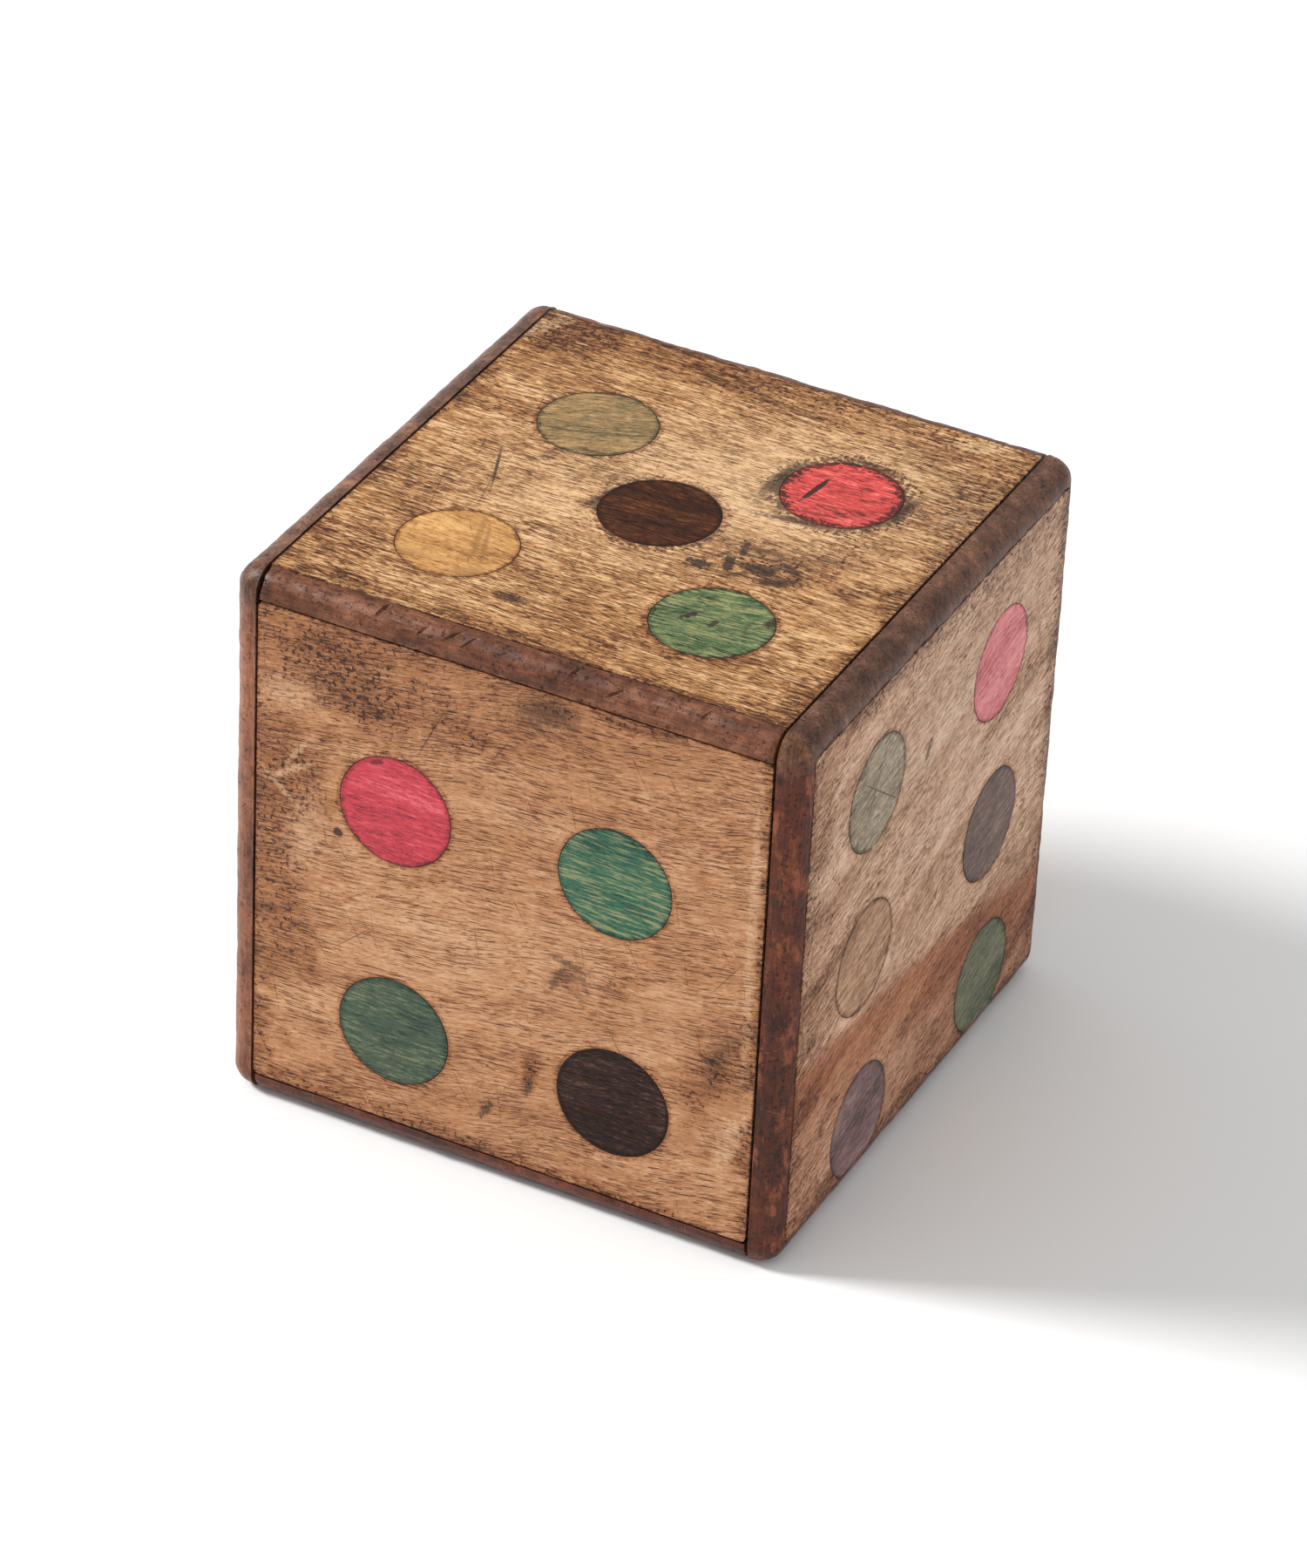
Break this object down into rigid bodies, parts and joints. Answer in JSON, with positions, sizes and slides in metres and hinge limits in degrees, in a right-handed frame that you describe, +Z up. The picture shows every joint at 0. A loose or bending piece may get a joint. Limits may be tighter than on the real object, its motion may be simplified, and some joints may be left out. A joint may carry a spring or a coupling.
{
  "type": "trick box in the shape of a die",
  "caption": "Wooden die-shaped trick box with inlaid coloured pips: a lid and a base panel slide front to back, and both end panels rise on hidden keys.",
  "frame": {"origin": "centre of the bottom, where the base rests", "axes": "+Z up through the five, -Y the front (the four), +X the right (the six)"},
  "size_m": [0.076, 0.076, 0.076],
  "materials": {
    "core_wood": "worn oiled dark wood",
    "front_veneer": "thin worn veneer with open pores",
    "pip_pink": "dyed wood disc, worn",
    "pip_teal": "dyed wood disc, worn",
    "pip_dark_green": "dyed wood disc, worn",
    "pip_aubergine": "dyed wood disc, worn",
    "pip_yellow": "dyed wood disc, worn",
    "inner_wood": "plain planed wood",
    "slide_wood": "plain planed wood",
    "top_veneer": "thin worn veneer with open pores",
    "pip_olive": "dyed wood disc, worn",
    "pip_dark_brown": "dyed wood disc, worn",
    "pip_coral": "dyed wood disc, worn",
    "pip_green": "dyed wood disc, worn",
    "base_veneer": "thin worn veneer with open pores",
    "end_veneer": "thin worn veneer with open pores",
    "pip_grey": "dyed wood disc, worn",
    "pip_rose": "dyed wood disc, worn",
    "pip_plain": "dyed wood disc, worn",
    "pip_violet_grey": "dyed wood disc, worn"
  },
  "bodies": {
    "carcass": {"front_wall": "core_wood", "front_veneer": "front_veneer", "front_pip_upper_left": "pip_pink", "front_pip_upper_right": "pip_teal", "front_pip_lower_left": "pip_dark_green", "front_pip_lower_right": "pip_aubergine", "back_wall": "core_wood", "back_veneer": "front_veneer", "back_pip_upper": "pip_teal", "back_pip_middle": "pip_pink", "back_pip_lower": "pip_yellow", "left_inner_wall": "inner_wood", "right_inner_wall": "inner_wood", "inner_floor": "inner_wood", "left_rails": "slide_wood", "right_rails": "slide_wood", "left_rail_stops": "slide_wood", "right_rail_stops": "slide_wood"},
    "top_lid": {"top_board": "core_wood", "top_veneer": "top_veneer", "top_pip_front_left": "pip_yellow", "top_pip_back_left": "pip_olive", "top_pip_centre": "pip_dark_brown", "top_pip_back_right": "pip_coral", "top_pip_front_right": "pip_green", "lid_runner_left": "slide_wood", "lid_runner_right": "slide_wood"},
    "base_panel": {"base_board": "core_wood", "base_veneer": "base_veneer", "base_pip_one": "pip_dark_brown", "base_pip_two": "pip_dark_green", "base_runner_left": "slide_wood", "base_runner_right": "slide_wood"},
    "left_end_panel": {"left_board": "core_wood", "left_veneer": "end_veneer", "left_pip": "pip_coral", "left_key": "slide_wood"},
    "right_end_panel": {"right_board": "core_wood", "right_veneer": "end_veneer", "right_pip_front_upper": "pip_grey", "right_pip_back_upper": "pip_rose", "right_pip_front_middle": "pip_plain", "right_pip_back_middle": "pip_aubergine", "right_pip_front_lower": "pip_violet_grey", "right_pip_back_lower": "pip_green", "right_key": "slide_wood"}
  },
  "joints": [
    {"name": "top_lid_slide", "type": "slide", "parent": "carcass", "child": "top_lid", "axis": [0, 1, 0], "range_m": [0, 0.0498]},
    {"name": "base_panel_slide", "type": "slide", "parent": "carcass", "child": "base_panel", "axis": [0, 1, 0], "range_m": [0, 0.005]},
    {"name": "left_end_rise", "type": "slide", "parent": "carcass", "child": "left_end_panel", "axis": [0, 0, 1], "range_m": [0, 0.005]},
    {"name": "right_end_rise", "type": "slide", "parent": "carcass", "child": "right_end_panel", "axis": [0, 0, 1], "range_m": [0, 0.005]}
  ]
}
